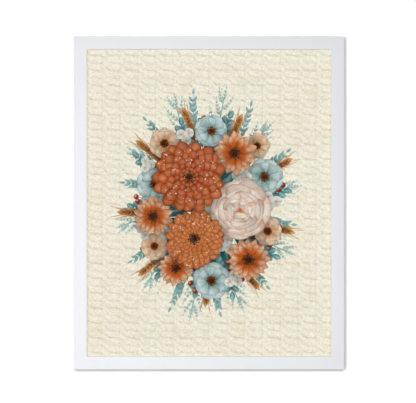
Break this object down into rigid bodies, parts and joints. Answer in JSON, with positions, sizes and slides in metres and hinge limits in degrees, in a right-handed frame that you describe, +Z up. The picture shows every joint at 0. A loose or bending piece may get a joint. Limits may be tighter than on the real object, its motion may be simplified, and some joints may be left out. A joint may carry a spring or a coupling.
{
  "type": "framed art print",
  "caption": "Upright wall picture: a slim white wooden frame with clear glazing over a cream textured print of a botanical bouquet, hung by a sawtooth hanger on its back.",
  "frame": {"origin": "the middle notch of the sawtooth hanger, where the frame bears on its wall nail, in the plane of the wall", "axes": "+Z up, +Y into the wall, +X to the right of someone facing the picture; the picture faces -Y"},
  "size_m": [0.4366, 0.023, 0.5382],
  "materials": {
    "white_paint": "satin white paint over wood",
    "acrylic": "clear, polished",
    "art_paper": "matt textured paper, cream, with printed inks",
    "fibreboard": "smooth brown hardboard",
    "steel": "plain steel",
    "brass_plate": "thin brass plating",
    "rubber": "matt"
  },
  "bodies": {
    "root": {"rail_bottom": "white_paint", "rail_left": "white_paint", "rail_top": "white_paint", "rail_right": "white_paint", "glazing": "acrylic", "art_print": "art_paper", "backing_board": "fibreboard", "hanger": "brass_plate", "point_bottom_1": "steel", "point_bottom_2": "steel", "point_bottom_3": "steel", "point_left_1": "steel", "point_left_2": "steel", "point_left_3": "steel", "point_left_4": "steel", "point_top_1": "steel", "point_top_2": "steel", "point_top_3": "steel", "point_right_1": "steel", "point_right_2": "steel", "point_right_3": "steel", "point_right_4": "steel", "hanger_nail_left": "steel", "bumper_left": "rubber", "hanger_nail_right": "steel", "bumper_right": "rubber"}
  },
  "joints": []
}
